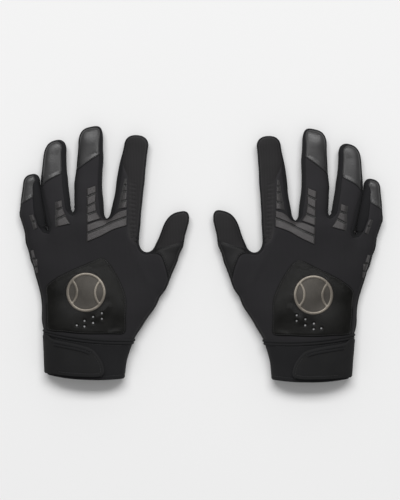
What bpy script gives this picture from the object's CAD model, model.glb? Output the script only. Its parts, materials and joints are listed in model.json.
"""A pair of batting gloves lying palm down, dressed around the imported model.

The stuffed shape of the left glove is a field, in millimetres, in the glove's own frame: fingers towards +Y,
palm on the table. Each panel is cut from its face. The right glove is the mirror image of the left one.
"""

import json
import logging
import math
from dataclasses import dataclass, field
from enum import Enum

import bpy
import numpy as np
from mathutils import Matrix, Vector
from mathutils.geometry import delaunay_2d_cdt


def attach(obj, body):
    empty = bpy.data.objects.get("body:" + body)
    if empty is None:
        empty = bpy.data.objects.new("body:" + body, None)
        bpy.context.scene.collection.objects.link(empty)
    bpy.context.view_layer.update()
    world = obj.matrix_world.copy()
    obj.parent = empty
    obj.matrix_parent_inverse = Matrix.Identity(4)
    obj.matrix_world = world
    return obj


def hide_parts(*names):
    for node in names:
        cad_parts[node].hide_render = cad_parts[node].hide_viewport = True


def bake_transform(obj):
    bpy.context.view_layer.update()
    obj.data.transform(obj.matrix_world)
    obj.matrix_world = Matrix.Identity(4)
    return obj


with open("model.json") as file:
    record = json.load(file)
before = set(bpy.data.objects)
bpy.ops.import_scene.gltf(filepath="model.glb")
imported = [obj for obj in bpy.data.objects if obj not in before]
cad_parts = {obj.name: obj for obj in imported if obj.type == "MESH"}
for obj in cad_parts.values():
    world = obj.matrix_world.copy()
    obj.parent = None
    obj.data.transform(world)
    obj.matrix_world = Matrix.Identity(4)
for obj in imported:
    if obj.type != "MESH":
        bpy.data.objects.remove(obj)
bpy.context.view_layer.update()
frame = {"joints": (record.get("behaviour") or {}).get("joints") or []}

MM = 0.001
LOG = logging.getLogger("gloves")

Array = np.ndarray
Pair = tuple[float, float]
Triple = tuple[float, float, float]


class Side(Enum):
    """Which hand a glove is for. The value is the sign of its X axis against the left glove's."""

    LEFT = 1
    RIGHT = -1


class Part(Enum):
    """What a piece moves with."""

    HAND = "hand"
    STRAP = "strap"
    FOLD = "fold"


class Edge(Enum):
    """What the edge of a panel is sewn as."""

    SIDE = 0
    CUT = 1
    CUFF = 2
    FREE = 3


@dataclass(frozen=True)
class Finger:
    """A stuffed finger: its root, knuckle and tip centre, half width at each, and its end.

    The end has a length, a squareness and a slant: how steeply it rises towards the thumb.
    """

    root: Pair
    knuckle: Pair
    tip: Pair
    half: Triple
    cap: float
    power: float
    slant: float


FINGERS = {
    "little": Finger((-42.1, 113.3), (-50.8, 150.8), (-51.5, 177.2), (7.2, 10.8, 7.2), 8.5, 2.5, 0.2),
    "ring": Finger((-23.5, 131.9), (-30.7, 175.1), (-30.8, 204.4), (11.3, 12.3, 10.5), 12.5, 2.4, 0.2),
    "middle": Finger((2.2, 132), (0, 177.8), (0.9, 212.2), (13.1, 12.9, 11), 17.5, 3.4, 0.26),
    "index": Finger((30.5, 122.1), (36.8, 173.9), (41.8, 213.1), (15.2, 12.6, 10.9), 10.4, 2.3, 0),
    "thumb": Finger((60, 91.6), (74.9, 127.4), (77.1, 135.9), (10.4, 11.6, 11.1), 19.6, 2.8, 0.5),
}

# Hand and wrist: distance up the glove, left edge, right edge, rise above the widest level.
HAND_STATIONS = np.array([
    (-20, -34.3, 35.2, 17), (0, -34.6, 35.5, 17), (20, -35.3, 37, 17), (41, -36.6, 44.4, 16.5),
    (55, -39.8, 52.7, 16.2), (70, -40.4, 63.2, 15.6), (86, -43.9, 68.9, 14.4), (104, -48.9, 72, 12.4),
    (120, -48.6, 80.3, 10.6), (140, -57.8, 90.1, 9),
])
# Where the hand ends between the fingers, the seam to the cuff, and the hem: position across, position up.
ARCH = np.array([
    (-70, 132.4), (-38.5, 135.6), (-14, 151.3), (16.5, 146.3), (34, 144.5), (46, 122.5), (60, 119.1),
    (90, 117.8),
])
CUFF_SEAM = np.array([(-60, 45.4), (-36, 44.4), (-17.5, 41), (9.5, 38), (40, 37.6), (60, 38.4)])
HEM = np.array([(-60, 11), (-36, 6.9), (-16.8, 4.1), (10, 3), (34, 4.1), (60, 6.3)])

# Landmarks on the outline: the fingertips, and the top seam of the side strips with its inset.
TIPS = {
    "little": (-50.8, 185.9),
    "ring": (-30.7, 216.9),
    "middle": (2.2, 229.9),
    "index": (42.4, 223.5),
    "thumb": (85.2, 155.6),
}
SIDE_SEAM = np.array([
    (-37, 44, 0.8), (-60.6, 160, 0.8), (-50.8, 185.9, 0.9), (-45.1, 183.3, 3.2), (-43.7, 174, 6.4),
    (-42.1, 164, 7.6), (-40.1, 152, 8.2), (-38.9, 143, 6.6), (-36.9, 136.2, 3.4), (-37.1, 143, 2.9),
    (-38.9, 152, 2.4), (-43, 175, 1), (-30.7, 216.9, 0.8), (-23.9, 215.3, 2.6), (-20.2, 206, 4.3),
    (-19.2, 188, 4.5), (-17.8, 172, 4.6), (-15.8, 158, 4.6), (-13.4, 152.4, 2.6), (-12.1, 160, 0.9),
    (2.2, 229.9, 0.8), (11, 226.7, 1.6), (12, 216, 2.6), (12.5, 190, 3.2), (13.6, 166, 4), (14.1, 155, 3.4),
    (17.2, 147.1, 1.4), (21, 156, 3.4), (25.9, 185, 3), (29.9, 208, 1.2), (42.4, 223.5, 0.8),
    (49.9, 180, 0.9), (46.6, 135, 1), (47.8, 121.4, 1.6), (59.4, 120.4, 1.6), (64.8, 133.6, 1),
    (85.2, 155.6, 0.9), (62, 68, 0.9), (43.4, 39, 0.9),
])

# Seams across the back: the points of each, and the fingertips that its two ends lie between.
SEAMS = {
    "little": ([(-60.3, 160.4), (-51.4, 166.4)], (None, "little", "ring")),
    "ring": ([(-41, 175.4), (-38.2, 180.2), (-31.5, 184.4), (-24.6, 188.3)], ("little", "ring", "middle")),
    "middle": ([(-11.8, 190.8), (-9, 192.9), (0, 199.7), (8.8, 206.3)], ("ring", "middle", "index")),
    "index": (
        [
            (28, 197.6), (32.4, 191.9), (35.6, 184.1), (35.8, 172.2),
            (36.2, 149.7), (37.2, 133), (40.4, 127.8), (45.2, 125),
        ],
        ("middle", "index", "thumb"),
    ),
    "thumb": ([(62.4, 121), (74, 124.4), (85.6, 128.1)], ("index", "thumb", None)),
    "wedge": ([(56.6, 117.2), (65.1, 115.5), (69.6, 107.1), (72.4, 93.6)], ("index", "thumb", None)),
}

# Creases in the cloth and the badge: both ends of each, its half width and its height.
CREASES = [
    ((5.3, 104.5), (15.1, 106.6), 0.9, 0.4), ((11.6, 58.2), (20.4, 69.2), 2.6, 0.8),
    ((21.8, 44.6), (29.5, 47), 1.9, 0.7), ((-35.4, 70), (-34.8, 49), 1.1, 0.6),
    ((-31.2, 67), (-30.6, 48.5), 1.1, 0.45), ((47, 108), (58, 90), 2.6, 0.5),
    ((52, 96), (61, 76), 2.2, 0.4), ((-44, 108), (-40, 90), 1.6, 0.35),
]


class SmoothLine:
    """A smooth curve through one column of a table of stations."""

    def __init__(self, table: Array, column: int) -> None:
        """Keeps the stations and their slopes.

        Args:
            table: one station a row, its place in the first column.
            column: the column that the curve follows.
        """
        self.at = table[:, 0]
        self.level = table[:, column]
        self.slope = np.gradient(self.level, self.at)

    def __call__(self, t: Array) -> Array:
        """The curve at each place, level past its ends.

        Args:
            t: places along the table.

        Returns:
            The value of the column at each place.
        """
        i = np.clip(np.searchsorted(self.at, t) - 1, 0, len(self.at) - 2)
        step = self.at[i + 1] - self.at[i]
        u = np.clip((t - self.at[i]) / step, 0, 1)
        v = 1 - u
        ease = u * u * (3 - 2 * u)
        level = self.level[i] * (1 - ease) + self.level[i + 1] * ease
        return level + step * u * v * (self.slope[i] * v - self.slope[i + 1] * u)


def blend_min(a: Array, b: Array, reach: float) -> Array:
    """The smaller of two fields, rounded where they differ by less than the reach, in millimetres."""
    h = np.maximum(reach - np.abs(a - b), 0) / reach
    return np.minimum(a, b) - h * h * reach / 4


def ease(t: Array) -> Array:
    """A smooth step from nought to one."""
    t = np.clip(t, 0, 1)
    return t * t * (3 - 2 * t)


def two_cords(t: Array) -> Array:
    """The height of two round cords side by side, over a width from minus one to one."""
    return np.sqrt(np.clip(1 - (2 * np.abs(t) - 1) ** 2, 0, 1))


def unit(v: Array) -> Array:
    """The same vectors, each one long."""
    return v / np.maximum(np.linalg.norm(v, axis=-1, keepdims=True), 1e-12)


def swell(off: Array, width: float) -> Array:
    """A soft bump, one high where the distance is nought, that dies away over the width."""
    return np.exp(-((off / width) ** 2))


def rounded(t: Array) -> Array:
    """A quarter circle: nought at nought, level from one on."""
    return np.sqrt(np.clip(1 - (1 - np.clip(t, 0, 1)) ** 2, 0, 1))


def rightward(travel: Array) -> Array:
    """The directions to the right of each direction of travel in plan, each one long."""
    travel = unit(travel)
    return np.column_stack([travel[:, 1], -travel[:, 0]])


def circle(centre: tuple, radius: float, count: int) -> Array:
    """Points evenly spaced round a circle in plan."""
    turn = np.linspace(0, 2 * math.pi, count + 1)[:-1]
    return np.column_stack([np.cos(turn), np.sin(turn)]) * radius + np.array(centre)


@dataclass
class GloveForm:
    """The stuffed glove's outer face: a field, negative inside, zero on the face and flat on the table."""

    girth: float = 7.0
    under_rise: float = 9.2
    rounding: float = 2.0
    finger_rise: float = 0.62
    finger_rise_limit: float = 8.0
    section_power: float = 2.3
    palm_power: float = 2.4
    palm_edge: float = 12.0
    web_rounding: float = 6.0
    wave_size: float = 0.16
    wave_lengths: Pair = (17.0, 62.0)
    wave_count: int = 14
    wave_seed: int = 11
    wave_foot: Pair = (1.0, 5.0)
    lying: float = 0.02
    back_reach: float = 40.0
    palm_reach: float = 12.0

    def __post_init__(self) -> None:
        """Reads the curves of the hand from the tables and draws the waves of the cloth."""
        self.left = SmoothLine(HAND_STATIONS, 1)
        self.right = SmoothLine(HAND_STATIONS, 2)
        self.rise = SmoothLine(HAND_STATIONS, 3)
        self.arch = SmoothLine(ARCH, 1)
        self.cuff_seam = SmoothLine(CUFF_SEAM, 1)
        self.hem = SmoothLine(HEM, 1)
        rng = np.random.default_rng(self.wave_seed)
        self.wave_way = unit(rng.normal(size=(self.wave_count, 3)) * (1, 1, 0.5))
        self.wave_length = np.linspace(*self.wave_lengths, self.wave_count)
        self.wave_phase = rng.uniform(0, 2 * math.pi, self.wave_count)

    def height_share(self, z: Array, rise: Array) -> Array:
        """How far up or down from the widest level a point is, one at the full rise.

        Args:
            z: the heights.
            rise: how far the form rises above that level.

        Returns:
            The share at each point.
        """
        above = (z - self.girth) / rise
        below = (self.girth - z) / self.under_rise
        return np.where(z > self.girth, above, below)

    def limb(self, finger: Finger, is_tip: bool, p: Array) -> Array:
        """The field of one half of a finger.

        Args:
            finger: the finger.
            is_tip: true for the half past the knuckle.
            p: the points.

        Returns:
            The field at each point.
        """
        start, end = (finger.knuckle, finger.tip) if is_tip else (finger.root, finger.knuckle)
        half_from, half_to = finger.half[1:] if is_tip else finger.half[:2]
        cap, power, slant = (finger.cap, finger.power, finger.slant) if is_tip else (half_to, 2, 0)
        start, end = np.array(start), np.array(end)
        length = np.linalg.norm(end - start)
        along = (end - start) / length
        d = p[:, :2] - start
        s = d @ along
        across = d[:, 0] * along[1] - d[:, 1] * along[0]
        reach = s - slant * across
        half = half_from + (half_to - half_from) * np.clip(s / length, 0, 1)
        flat = np.abs(across) / half
        over = np.maximum(reach - length, 0) / cap
        flat = np.where(reach > length, (flat**power + over**power) ** (1 / power), flat)
        flat = np.where(s < 0, np.hypot(flat, s / half_from), flat)
        rise = self.height_share(p[:, 2], np.minimum(half * self.finger_rise, self.finger_rise_limit))
        power = self.section_power
        return ((flat**power + rise**power) ** (1 / power) - 1) * half

    def hand(self, p: Array) -> Array:
        """The field of the palm and the wrist.

        Args:
            p: the points.

        Returns:
            The field at each point.
        """
        x, y, z = p.T
        left, right = self.left(y), self.right(y)
        across = np.abs(x - (left + right) / 2) / ((right - left) / 2)
        end = np.maximum(y - self.arch(x) + self.palm_edge, 0) / self.palm_edge
        flat = (across**self.palm_power + end**self.palm_power) ** (1 / self.palm_power)
        rise = self.height_share(z, self.rise(y))
        power = self.section_power
        return ((flat**power + rise**power) ** (1 / power) - 1) * self.palm_edge

    def value(self, p: Array) -> Array:
        """The whole field at each point.

        Args:
            p: the points.

        Returns:
            The field at each point.
        """
        hand = self.hand(p)
        joined = hand
        for finger in FINGERS.values():
            limb = np.minimum(self.limb(finger, False, p), self.limb(finger, True, p))
            joined = np.minimum(joined, blend_min(hand, limb, self.web_rounding))
        return -blend_min(-joined, p[:, 2], self.rounding)

    def normal(self, p: Array, h: float = 0.05) -> Array:
        """The direction out of the glove at each point."""
        steps = np.eye(3) * h
        return unit(np.stack([self.value(p + s) - self.value(p - s) for s in steps], axis=1))

    def strike(
        self, origin: Array, way: Array, reach: float = 60.0, first: bool = False,
    ) -> Array:
        """Where rays from inside the glove leave it.

        Args:
            origin: the start of each ray.
            way: the direction of each ray.
            reach: the length of the rays.
            first: stops at the first face, where a ray could cross into the next finger.

        Returns:
            The points on the outer face.
        """
        low = np.zeros(len(origin))
        high = np.full(len(origin), reach)
        if first:
            open_ray = np.arange(len(origin))
            for r in np.arange(4, reach, 0.3):
                outside = self.value(origin[open_ray] + way[open_ray] * r) > 0
                high[open_ray[outside]] = r
                open_ray = open_ray[~outside]
                low[open_ray] = r
                if not len(open_ray):
                    break
        for _ in range(12 if first else 20):
            middle = (low + high) / 2
            inside = self.value(origin + way * middle[:, None]) < 0
            low = np.where(inside, middle, low)
            high = np.where(inside, high, middle)
        return origin + way * low[:, None]

    def upright(self, xy: Array, way: float, reach: float) -> Array:
        """Where upright rays from the widest level leave the glove, up or down."""
        origin = np.column_stack([xy, np.full(len(xy), self.girth)])
        return self.strike(origin, np.tile((0.0, 0.0, way), (len(xy), 1)), reach)

    def back(self, xy: Array) -> "Face":
        """The upper face over each plan point."""
        p = self.upright(xy, 1.0, self.back_reach)
        return Face(p, self.normal(p))

    def palm(self, xy: Array) -> "Face":
        """The lower face under each plan point."""
        return self.laid(self.upright(xy, -1.0, self.palm_reach))

    def laid(self, p: Array) -> "Face":
        """The face at each point of it, made flat where it lies on the table.

        Args:
            p: points on the outer face.

        Returns:
            The face.
        """
        n = self.normal(p)
        lying = p[:, 2] < self.lying
        p[lying, 2] = 0
        n[lying] = (0, 0, -1)
        return Face(p, n)

    def middle(self, y: Array) -> Array:
        """The middle of the hand at each position up the glove."""
        return (self.left(y) + self.right(y)) / 2

    def round_wrist(self, angle: Array, y: Array) -> Array:
        """Where rays from the middle of the wrist leave the glove.

        Args:
            angle: the angle of each ray.
            y: its position up the glove.

        Returns:
            The points on the outer face.
        """
        origin = np.column_stack([self.middle(y), y, np.full(len(y), self.girth)])
        way = np.column_stack([np.cos(angle), np.zeros(len(y)), np.sin(angle)])
        return self.strike(origin, way)

    def sheet(
        self, plan: "PlanMesh", low: float | Array, high: float | Array, seam: Array,
    ) -> "Shape":
        """A closed panel on the upper face, with the waves of the cloth added to both sides.

        Args:
            plan: the plan of the panel.
            low: how far its inner side stands off the stuffed shape.
            high: the same for its outer side.
            seam: the distance of each point from the nearest seam.

        Returns:
            The panel.
        """
        face = self.back(plan.points)
        wave = self.waves(face.points)
        return thicken(face, plan.triangles, low + wave, high + wave, plan.points, seam)

    def waves(self, p: Array) -> Array:
        """How far the cloth stands off the stuffed shape: soft waves and creases that fade near the table.

        Args:
            p: points on the outer face.

        Returns:
            The distance at each point.
        """
        turns = (p @ self.wave_way.T) / self.wave_length * 2 * math.pi + self.wave_phase
        size = self.wave_size * np.sqrt(self.wave_length / self.wave_lengths[1])
        lift = (np.sin(turns) * size).sum(axis=1)
        for start, end, width, height in CREASES:
            away = distance_to(np.array([(*start, *end)]), p[:, :2])
            lift += height * swell(away, width)
        foot, span = self.wave_foot
        return lift * ease((p[:, 2] - foot) / span)


@dataclass
class Face:
    """Points on the outer face of the glove with the direction out of it."""

    points: Array
    normals: Array

    def __add__(self, other: "Face") -> "Face":
        """Both sets of points, one after the other."""
        return Face(np.vstack([self.points, other.points]), np.vstack([self.normals, other.normals]))


@dataclass
class Shape:
    """A closed mesh in millimetres. Each point has a plan position and a distance from the nearest seam."""

    verts: Array
    faces: list
    plan: Array
    seam: Array

    def __add__(self, other: "Shape") -> "Shape":
        """Both meshes as one.

        Args:
            other: the second mesh.

        Returns:
            The joined mesh.
        """
        count = len(self.verts)
        return Shape(
            np.vstack([self.verts, other.verts]),
            self.faces + [tuple(i + count for i in f) for f in other.faces],
            np.vstack([self.plan, other.plan]),
            np.concatenate([self.seam, other.seam]),
        )


def open_edges(triangles: Array) -> list[tuple[int, int]]:
    """The edges that only one triangle has, in its direction of travel.

    Args:
        triangles: three point numbers a triangle.

    Returns:
        The two point numbers of each edge.
    """
    once: dict[tuple[int, int], tuple[int, int]] = {}
    for a, b, c in triangles.tolist():
        for p, q in ((a, b), (b, c), (c, a)):
            key = (min(p, q), max(p, q))
            if key in once:
                del once[key]
            else:
                once[key] = (p, q)
    return list(once.values())


def thicken(
    face: Face, triangles: Array, low: float | Array, high: float | Array, plan: Array,
    seam: Array,
) -> Shape:
    """Makes one closed sheet of a patch of the outer face.

    Args:
        face: the points of the patch.
        triangles: its triangles, in either sense.
        low: how far the inner side stands off the outer face, one number or one a point.
        high: the same for the outer side.
        plan: the pattern position of each point, in millimetres.
        seam: the distance of each point from the nearest seam.

    Returns:
        The sheet, its faces pointing out.
    """
    p, n = face.points, face.normals
    a, b, c = (p[triangles[:, k]] for k in range(3))
    facing = np.einsum("ij,ij->i", np.cross(b - a, c - a), n[triangles[:, 0]]).sum()
    outer = triangles if facing > 0 else triangles[:, [0, 2, 1]]
    count = len(p)
    top = p + n * np.broadcast_to(high, count)[:, None]
    foot = p + n * np.broadcast_to(low, count)[:, None]
    faces = [tuple(t) for t in outer.tolist()]
    faces += [(a + count, c + count, b + count) for a, b, c in outer.tolist()]
    for a, b in open_edges(outer):
        faces.append((a, a + count, b + count, b))
    return Shape(np.vstack([top, foot]), faces, np.vstack([plan, plan]), np.concatenate([seam, seam]))


def grid_triangles(rows: int, columns: int) -> Array:
    """The triangles of a grid of points, row by row.

    Args:
        rows: how many rows there are.
        columns: how many points a row has.

    Returns:
        Three point numbers a triangle.
    """
    i, j = np.meshgrid(np.arange(rows - 1), np.arange(columns - 1), indexing="ij")
    a = (i * columns + j).ravel()
    b = a + columns
    return np.concatenate([np.column_stack([a, a + 1, b + 1]), np.column_stack([a, b + 1, b])])


def arc_lengths(points: Array) -> Array:
    """The distance travelled along a line of points, nought at its first."""
    steps = np.linalg.norm(np.diff(points, axis=0), axis=1)
    return np.concatenate([[0], np.cumsum(steps)])


def run_lengths(grid: Array) -> Array:
    """The distance travelled along each row of a grid of points."""
    steps = np.linalg.norm(np.diff(grid, axis=1), axis=2)
    return np.concatenate([np.zeros((len(grid), 1)), np.cumsum(steps, axis=1)], axis=1)


def sampled(rows: Array, travelled: Array, places: Array) -> Array:
    """The rows of a table read off between its places."""
    return np.column_stack([np.interp(places, travelled, column) for column in rows.T])


def resample(points: Array, pitch: float) -> Array:
    """The same line with points spaced evenly, about the pitch apart.

    Args:
        points: the line.
        pitch: the spacing.

    Returns:
        The new points.
    """
    travelled = arc_lengths(points)
    count = max(int(math.ceil(travelled[-1] / pitch)), 1)
    return sampled(points, travelled, np.linspace(0, travelled[-1], count + 1))


def spline(points: list, pitch: float, closed: bool = False) -> Array:
    """A smooth line through the points.

    Args:
        points: what the line passes through.
        pitch: the spacing of the points that come back.
        closed: joins the end to the start, and leaves out the repeated point.

    Returns:
        Evenly spaced points on the line.
    """
    p = np.array(points, float)
    if closed:
        p = np.vstack([p[-2:], p, p[:3]])
    t = np.concatenate([[0], np.cumsum(np.sqrt(np.linalg.norm(np.diff(p, axis=0), axis=1)))])
    table = np.column_stack([t, p])
    lines = [SmoothLine(table, k + 1) for k in range(p.shape[1])]
    span = (t[2], t[-3]) if closed else (t[0], t[-1])
    fine = np.linspace(*span, len(points) * 24)
    smooth = resample(np.column_stack([line(fine) for line in lines]), pitch)
    return smooth[:-1] if closed else smooth


def inside(loop: Array, p: Array) -> Array:
    """Which points lie inside a closed plan outline.

    Args:
        loop: the corners of the outline.
        p: the points.

    Returns:
        True for each point inside.
    """
    result = np.zeros(len(p), bool)
    ahead = np.roll(loop, -1, axis=0)
    for (ax, ay), (bx, by) in zip(loop, ahead):
        if ay == by:
            continue
        spans = (ay > p[:, 1]) != (by > p[:, 1])
        result ^= spans & (p[:, 0] < (bx - ax) * (p[:, 1] - ay) / (by - ay) + ax)
    return result


def in_panel(loops: list, p: Array) -> Array:
    """Which points lie inside the first loop and outside all the others.

    Args:
        loops: the outline and its holes.
        p: the points.

    Returns:
        True for each of those points.
    """
    keep = inside(loops[0], p)
    for hole in loops[1:]:
        keep &= ~inside(hole, p)
    return keep


# What stands for no edge at all, in millimetres, and how many segments are compared at a time.
FAR = 99.0
BATCH = 200


def distance_to(segments: Array, p: Array) -> Array:
    """The distance from each plan point to the nearest of some segments.

    Args:
        segments: start and end of each segment, as rows of four.
        p: the plan points.

    Returns:
        One distance a point.
    """
    if not len(segments):
        return np.full(len(p), FAR)
    best = np.full(len(p), np.inf)
    for part in np.array_split(segments, max(len(segments) // BATCH, 1)):
        a, d = part[:, :2], part[:, 2:] - part[:, :2]
        away = p[:, None, :] - a[None]
        t = np.clip((away * d).sum(-1) / np.maximum((d * d).sum(-1), 1e-12), 0, 1)
        best = np.minimum(best, np.linalg.norm(away - t[..., None] * d, axis=-1).min(axis=1))
    return best


@dataclass
class PlanMesh:
    """The plan of a panel, split into small triangles, with the distance to each kind of edge."""

    points: Array
    triangles: Array
    segments: dict[Edge, Array]

    def off(self, *edges: Edge) -> Array:
        """The distance of each point from edges of these kinds, or from any edge.

        Args:
            edges: the kinds of edge.

        Returns:
            One distance a point.
        """
        kinds = edges or tuple(self.segments)
        found = [self.segments[k] for k in kinds if k in self.segments]
        return distance_to(np.vstack(found) if found else np.zeros((0, 4)), self.points)


# Rows of points that follow each edge: their distances from it, and the least spacing of corners on it.
RIM_STEPS = (0.3, 0.7, 1.2, 1.9, 2.8)
CLOSEST_CORNERS = 0.15
# How near an edge a row or the even grid may come, as a share of the row's distance or of the pitch.
ROW_ROOM = 0.86
GRID_ROOM = 0.6


def plan_mesh(
    outline: list, holes: tuple | list = (), *, pitch: float, rim: tuple = RIM_STEPS,
) -> PlanMesh:
    """Splits a plan outline into triangles, finer along its edges.

    Args:
        outline: runs of points once around the panel, each with the kind of edge that it is.
        holes: closed loops of points that are left open.
        pitch: the spacing of the points well inside.
        rim: the distances of the rows of points that follow each edge.

    Returns:
        The plan, with its edges kept.
    """
    loop, kinds = [], []
    for points, kind in outline:
        for p in points:
            if loop and math.dist(p, loop[-1]) < CLOSEST_CORNERS:
                continue
            loop.append(tuple(p))
            kinds.append(kind)
    while math.dist(loop[0], loop[-1]) < CLOSEST_CORNERS:
        loop.pop()
        kinds.pop()
    loops = [np.array(loop)] + [np.array(h) for h in holes]
    kind_lists = [kinds] + [[Edge.FREE] * len(h) for h in holes]
    segments = {}
    rows = [np.column_stack([lp, np.roll(lp, -1, axis=0)]) for lp in loops]
    for kind in {k for ks in kind_lists for k in ks}:
        segments[kind] = np.vstack([
            row[[k is kind for k in ks]] for row, ks in zip(rows, kind_lists) if kind in ks
        ])
    every = np.vstack(rows)
    extra = []
    for lp, turn in zip(loops, [1] + [-1] * len(holes)):
        area = (lp[:, 0] * np.roll(lp[:, 1], -1) - np.roll(lp[:, 0], -1) * lp[:, 1]).sum()
        inward = rightward(np.roll(lp, 1, axis=0) - np.roll(lp, -1, axis=0)) * np.sign(area) * turn
        for k, step in enumerate(rim):
            row = lp + inward * step
            row = row[k % 2 :: 1 if k < 2 else 2]
            extra.append(row[distance_to(every, row) > step * ROW_ROOM])
    low, high = loops[0].min(axis=0), loops[0].max(axis=0)
    ys = np.arange(low[1], high[1], pitch * math.sqrt(0.75))
    grid = np.array([
        (x + (i % 2) * pitch / 2, y) for i, y in enumerate(ys) for x in np.arange(low[0], high[0], pitch)
    ]).reshape(-1, 2)
    extra.append(grid[distance_to(every, grid) > (rim[-1] if rim else 0) + pitch * GRID_ROOM])
    free = np.vstack(extra)
    corners = np.vstack([*loops, free[in_panel(loops, free)]])
    edges, start = [], 0
    for lp in loops:
        edges += [(start + i, start + (i + 1) % len(lp)) for i in range(len(lp))]
        start += len(lp)
    made = delaunay_2d_cdt([Vector(p) for p in corners.tolist()], edges, [], 0, 1e-5, False)
    points = np.array([tuple(v) for v in made[0]])
    triangles = np.array([tuple(f) for f in made[2]])
    triangles = triangles[in_panel(loops, points[triangles].mean(axis=1))]
    used, index = np.unique(triangles, return_inverse=True)
    return PlanMesh(points[used], index.reshape(-1, 3), segments)


@dataclass
class Outline:
    """The glove's outline at its widest level, from the little finger's side of the cuff to the thumb's."""

    form: GloveForm
    step: float = 0.5
    every: int = 2
    under_inset: float = 2.4
    ray_depth: float = 10.5
    ray_reach: float = 26.0
    cuff_blend: float = 18.0
    cuff_y: float = 37.0
    start_x: float = -38.0
    start_room: float = 0.15
    first_steps: int = 50
    most_steps: int = 4000
    search_length: float = 400.0

    def __post_init__(self) -> None:
        """Walks the outline and works out both seams of the side strips."""
        self.xy, raw = self.walk()
        self.count = len(self.xy)
        self.inward = self.smooth_inward(raw)
        self.top_inset = self.seam_insets()
        self.top = self.xy + self.inward * self.top_inset[:, None]
        self.under = self.xy + self.inward * self.under_inset
        self.tip = {name: self.nearest(self.xy, at) for name, at in TIPS.items()}

    def walk(self) -> tuple[Array, Array]:
        """Steps once around the widest line.

        Returns:
            The points, and the direction into the glove at each.
        """
        h = 0.02
        stencil = np.array([(0, 0, 0), (h, 0, 0), (-h, 0, 0), (0, h, 0), (0, -h, 0)])

        def look(p: Array) -> tuple[float, Array]:
            """The field and its slope at one point."""
            v = self.form.value(np.array([p[0], p[1], self.form.girth]) + stencil)
            return v[0], np.array([v[1] - v[2], v[3] - v[4]]) / (2 * h)

        def settle(p: Array) -> Array:
            """Moves a point onto the outline.

            Args:
                p: a point near the outline.

            Returns:
                The point on it.
            """
            for _ in range(2):
                v, g = look(p)
                p = p - v * g / (g @ g)
            return p

        y = float(self.form.cuff_seam(np.array([self.start_x]))[0])
        p = settle(np.array([float(self.form.left(np.array([y]))[0]), y]))
        points, inward = [], []
        for i in range(self.most_steps):
            _, g = look(p)
            n = -g / np.linalg.norm(g)
            if p[1] > self.form.cuff_seam(np.array([p[0]]))[0] + self.start_room:
                points.append(p)
                inward.append(n)
            elif i > self.first_steps:
                break
            p = settle(p + np.array([-n[1], n[0]]) * self.step)
        return np.array(points), np.array(inward)

    def smooth_inward(self, raw: Array) -> Array:
        """Averages the inward direction over a short run and turns it level towards the cuff seam.

        Args:
            raw: the direction at each station.

        Returns:
            The smoothed directions.
        """
        reach = 4
        padded = np.pad(raw, ((reach, reach), (0, 0)), mode="edge")
        mean = unit(sum(padded[k : k + len(raw)] for k in range(2 * reach + 1)))
        side = np.where(np.arange(len(raw)) < len(raw) / 2, 1, -1)
        level = np.maximum(1 - (self.xy[:, 1] - self.cuff_y) / self.cuff_blend, 0) ** 2
        bent = mean * (1 - level)[:, None]
        bent[:, 0] += side * level
        return unit(bent)

    @staticmethod
    def nearest(line: Array, at: tuple, low: int = 0, high: int | None = None) -> int:
        """The station of a line that lies nearest a plan point, within a range of stations."""
        part = line[low:high]
        return low + int(np.argmin(np.hypot(*(part - np.array(at)).T)))

    def seam_insets(self) -> Array:
        """How far in from the outline the top seam runs, at each station.

        Returns:
            One inset a station.
        """
        start, places = 0, []
        window = int(self.search_length / self.step)
        for x, y, _ in SIDE_SEAM:
            start = self.nearest(self.xy, (x, y), start, min(start + window, self.count))
            places.append(start)
        at = np.arange(self.count)
        k = np.clip(np.searchsorted(places, at, side="left") - 1, 0, len(places) - 2)
        places = np.array(places)
        t = ease((at - places[k]) / np.maximum(places[k + 1] - places[k], 1))
        return SIDE_SEAM[k, 2] * (1 - t) + SIDE_SEAM[k + 1, 2] * t

    def seam(self, name: str) -> "Seam":
        """One of the seams across the back, its ends on the top seam of the side strips.

        Args:
            name: the seam's name in the table.

        Returns:
            The stations of its ends and its line.
        """
        points, (low, middle, high) = SEAMS[name]
        first = self.tip.get(low, 0)
        last = self.tip.get(high, self.count)
        a = self.nearest(self.top, points[0], first, self.tip[middle])
        b = self.nearest(self.top, points[-1], self.tip[middle], last)
        return Seam(a, b, spline([self.top[a], *points[1:-1], self.top[b]], 0.9))

    def run(self, start: int, end: int) -> Array:
        """The stations from one to another, both kept and some left out between.

        Args:
            start: the first station.
            end: the last station.

        Returns:
            The stations.
        """
        step = self.every if start < end else -self.every
        inner = np.arange(start + step, end - step // 2, step)
        return np.concatenate([[start], inner, [end]])

    def seam_angles(self, stations: Array, gap: float) -> tuple[Array, Array]:
        """The angles above and below the widest line at which the two seams lie.

        Args:
            stations: the stations of the outline.
            gap: how far a panel stops short of each seam.

        Returns:
            The upper and the lower angle at each station.
        """
        girth = self.form.girth
        top = self.form.back(self.top[stations]).points[:, 2] - girth
        foot = self.form.palm(self.under[stations]).points[:, 2] - girth
        top_run = self.ray_depth - self.top_inset[stations]
        foot_run = self.ray_depth - self.under_inset
        return (
            np.arctan2(top, top_run) - gap / np.hypot(top_run, top),
            np.arctan2(foot, foot_run) + gap / np.hypot(foot_run, foot),
        )

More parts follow.
